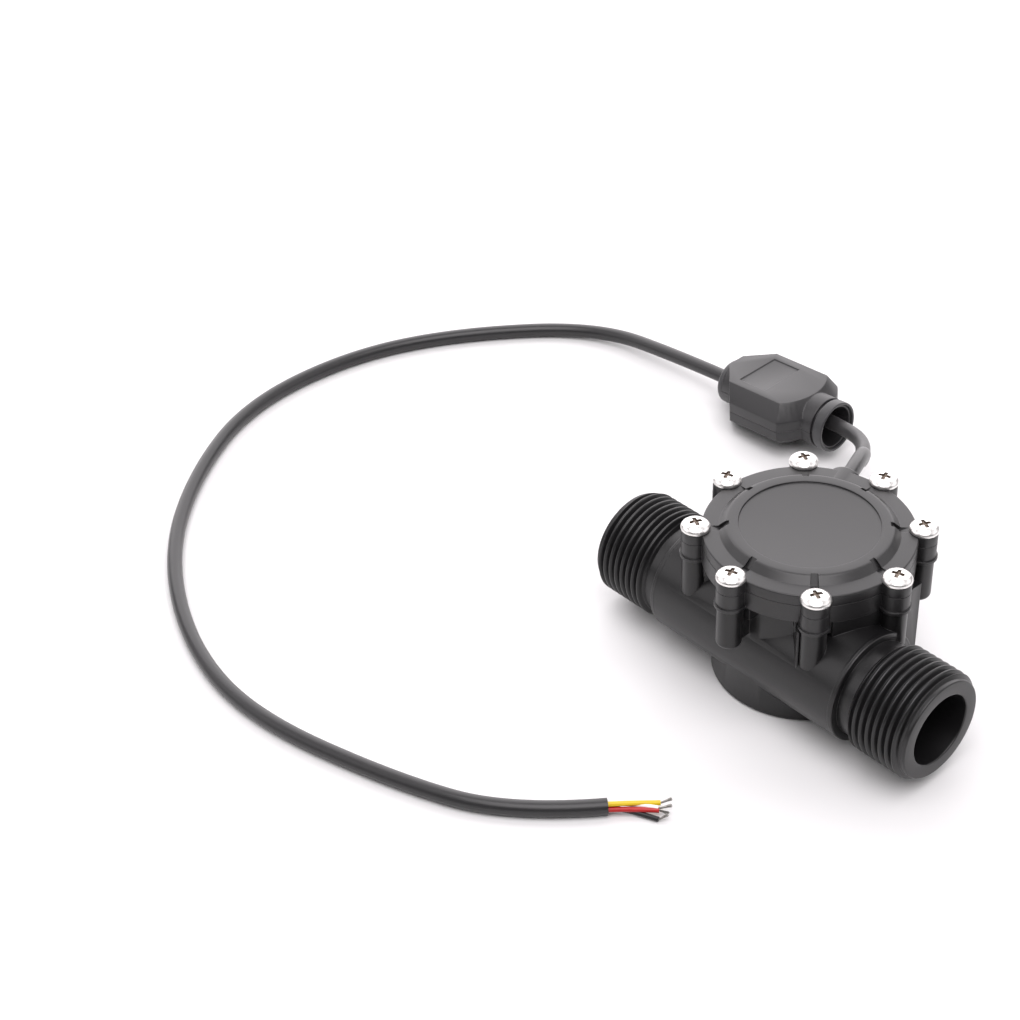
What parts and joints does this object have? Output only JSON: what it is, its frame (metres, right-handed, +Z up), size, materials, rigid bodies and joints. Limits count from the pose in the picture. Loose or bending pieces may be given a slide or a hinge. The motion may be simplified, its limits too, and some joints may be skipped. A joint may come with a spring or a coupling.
{
  "type": "water flow sensor",
  "caption": "In-line water flow sensor with threaded pipe ends, a round rotor chamber under a screwed cover, and an inline signal converter on its cable.",
  "frame": {"origin": "centre of the chamber's flat foot, on the rotor's axis, on the surface that the sensor stands on", "axes": "+X along the pipe, +Y away from the pipe towards the cable outlet, +Z up along the rotor's axis"},
  "size_m": [0.2821, 0.2352, 0.0517],
  "materials": {
    "housing": "charcoal glass-filled nylon, fine moulded texture",
    "cover": "charcoal nylon, satin",
    "seal": "black nitrile",
    "screw": "bright nickel plate",
    "rotor": "white acetal",
    "magnet": "dark ferrite ring",
    "axle": "ground stainless steel",
    "bush": "turned brass",
    "washer": "white low friction plastic",
    "board": "green circuit board",
    "chip": "black moulded package",
    "converter": "grey-black moulded plastic",
    "sleeve": "dark rubber",
    "jacket": "black cable jacket with a soft sheen",
    "core_yellow": "yellow wire insulation",
    "core_white": "white wire insulation",
    "core_red": "red wire insulation",
    "core_black": "black wire insulation",
    "strands": "tinned copper strands"
  },
  "bodies": {
    "root": {"axle": "axle", "cable_grommet": "sleeve", "chamber_seal": "seal", "converter_board": "board", "converter_chip": "chip", "converter_lower": "converter", "converter_upper": "converter", "core_black": "core_black", "core_red": "core_red", "core_white": "core_white", "core_yellow": "core_yellow", "cover_seal": "seal", "front_sleeve": "sleeve", "hall_switch": "chip", "housing": "housing", "lower_washer": "washer", "main_cable": "jacket", "middle_plate": "cover", "screw_1": "screw", "screw_2": "screw", "screw_3": "screw", "screw_4": "screw", "screw_5": "screw", "screw_6": "screw", "screw_7": "screw", "screw_8": "screw", "sensor_board": "board", "sensor_lead": "jacket", "strands_black": "strands", "strands_red": "strands", "strands_white": "strands", "strands_yellow": "strands", "tail_sleeve": "sleeve", "top_cover": "cover", "upper_washer": "washer"},
    "rotor_body": {"rotor": "rotor", "rotor_magnet": "magnet", "rotor_bush": "bush"}
  },
  "joints": [
    {"name": "rotor_spin", "type": "hinge", "parent": "root", "child": "rotor_body", "pos_m": [0, 0, 0.0205], "axis": [0, 0, 1], "continuous": true}
  ]
}
